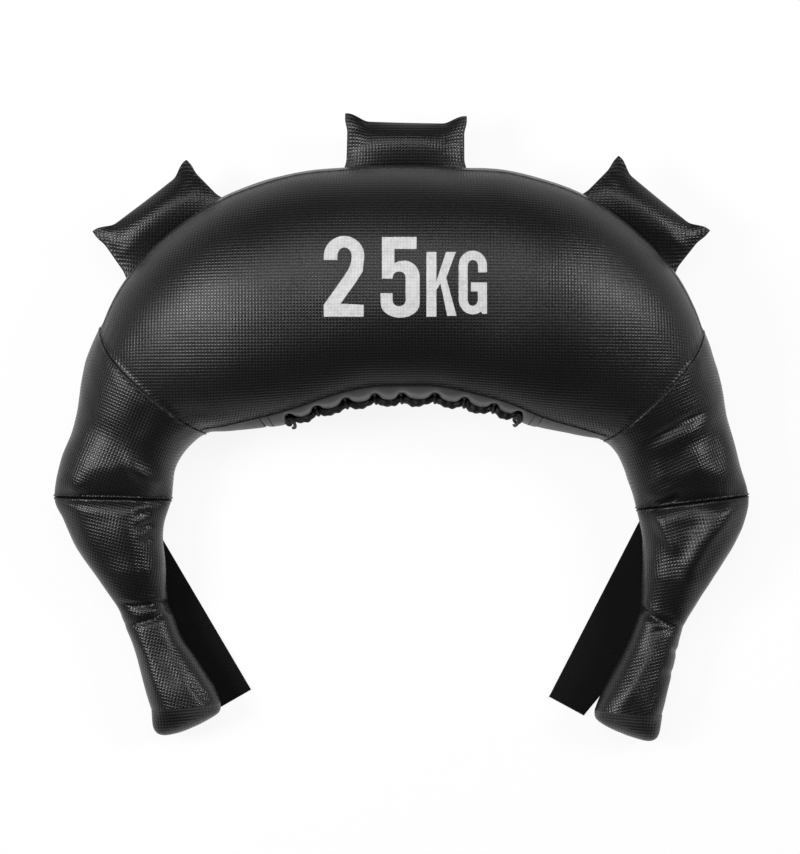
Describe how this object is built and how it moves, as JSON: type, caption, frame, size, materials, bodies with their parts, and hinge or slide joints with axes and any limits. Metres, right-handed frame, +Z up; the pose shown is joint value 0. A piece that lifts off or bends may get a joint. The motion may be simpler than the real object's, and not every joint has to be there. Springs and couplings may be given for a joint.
{
  "type": "sandbag trainer",
  "caption": "Crescent-shaped leather sandbag with folding arm grips, padded side grips, webbing swing straps and a laced filling mouth, for lifting and swinging exercise.",
  "frame": {"origin": "middle of the bounding box in plan, on the floor that the bag lies on", "axes": "+X towards the right arm, +Y towards the top side grip, +Z up, out of the printed front"},
  "size_m": [0.6993, 0.6355, 0.1777],
  "materials": {
    "black_embossed_leather": "soft sheen, embossed dot grid",
    "black_smooth_leather": "smooth, soft sheen",
    "sand_filled_liner": "matt",
    "grip_filler": "matt",
    "foam": "matt",
    "black_webbing": "woven, matt",
    "black_cord": "braided, matt"
  },
  "bodies": {
    "bag_body": {"front_panel": "black_embossed_leather", "back_panel": "black_embossed_leather", "gusset_left": "black_smooth_leather", "gusset_right": "black_smooth_leather", "mouth_front_lip": "black_smooth_leather", "mouth_back_lip": "black_smooth_leather", "closure_lace": "black_cord", "main_sand_pouch": "sand_filled_liner"},
    "left_upper_arm": {"left_upper_sleeve": "black_embossed_leather", "left_arm_sand_pouch": "sand_filled_liner"},
    "left_grip": {"left_grip_sleeve": "black_embossed_leather", "left_grip_core": "grip_filler", "left_end_cap": "black_embossed_leather"},
    "left_strap": {"left_swing_strap": "black_webbing"},
    "right_upper_arm": {"right_upper_sleeve": "black_embossed_leather", "right_arm_sand_pouch": "sand_filled_liner"},
    "right_grip": {"right_grip_sleeve": "black_embossed_leather", "right_grip_core": "grip_filler", "right_end_cap": "black_embossed_leather"},
    "right_strap": {"right_swing_strap": "black_webbing"},
    "left_side_grip": {"left_side_grip_cover": "black_embossed_leather", "left_side_grip_core": "foam"},
    "top_side_grip": {"top_side_grip_cover": "black_embossed_leather", "top_side_grip_core": "foam"},
    "right_side_grip": {"right_side_grip_cover": "black_embossed_leather", "right_side_grip_core": "foam"}
  },
  "joints": [
    {"name": "left_shoulder_fold", "type": "hinge", "parent": "bag_body", "child": "left_upper_arm", "pos_m": [-0.2485, 0.04818, 0.12816], "axis": [-0.7021, 0.712, 0], "range_deg": [0, 35]},
    {"name": "left_wrist_fold", "type": "hinge", "parent": "left_upper_arm", "child": "left_grip", "pos_m": [-0.2905, -0.07068, 0.0938], "axis": [-0.9997, 0.0245, 0], "range_deg": [0, 40]},
    {"name": "left_strap_swing", "type": "hinge", "parent": "left_upper_arm", "child": "left_strap", "pos_m": [-0.28983, -0.07309, 0.0021], "axis": [0.9997, -0.0245, 0], "range_deg": [0, 150]},
    {"name": "right_shoulder_fold", "type": "hinge", "parent": "bag_body", "child": "right_upper_arm", "pos_m": [0.2534, 0.04299, 0.12816], "axis": [-0.6673, -0.7448, 0], "range_deg": [0, 35]},
    {"name": "right_wrist_fold", "type": "hinge", "parent": "right_upper_arm", "child": "right_grip", "pos_m": [0.29365, -0.07501, 0.0938], "axis": [-0.9925, -0.122, 0], "range_deg": [0, 40]},
    {"name": "right_strap_swing", "type": "hinge", "parent": "right_upper_arm", "child": "right_strap", "pos_m": [0.27518, -0.07963, 0.0021], "axis": [0.9925, 0.122, 0], "range_deg": [0, 150]},
    {"name": "left_side_grip_flap", "type": "hinge", "parent": "bag_body", "child": "left_side_grip", "pos_m": [-0.23117, 0.19647, 0.06775], "axis": [0.7784, 0.6278, 0], "range_deg": [0, 55]},
    {"name": "top_side_grip_flap", "type": "hinge", "parent": "bag_body", "child": "top_side_grip", "pos_m": [0.00352, 0.26224, 0.07362], "axis": [1, -0.0062, 0], "range_deg": [0, 55]},
    {"name": "right_side_grip_flap", "type": "hinge", "parent": "bag_body", "child": "right_side_grip", "pos_m": [0.23126, 0.20046, 0.06775], "axis": [0.7772, -0.6292, 0], "range_deg": [0, 55]}
  ]
}
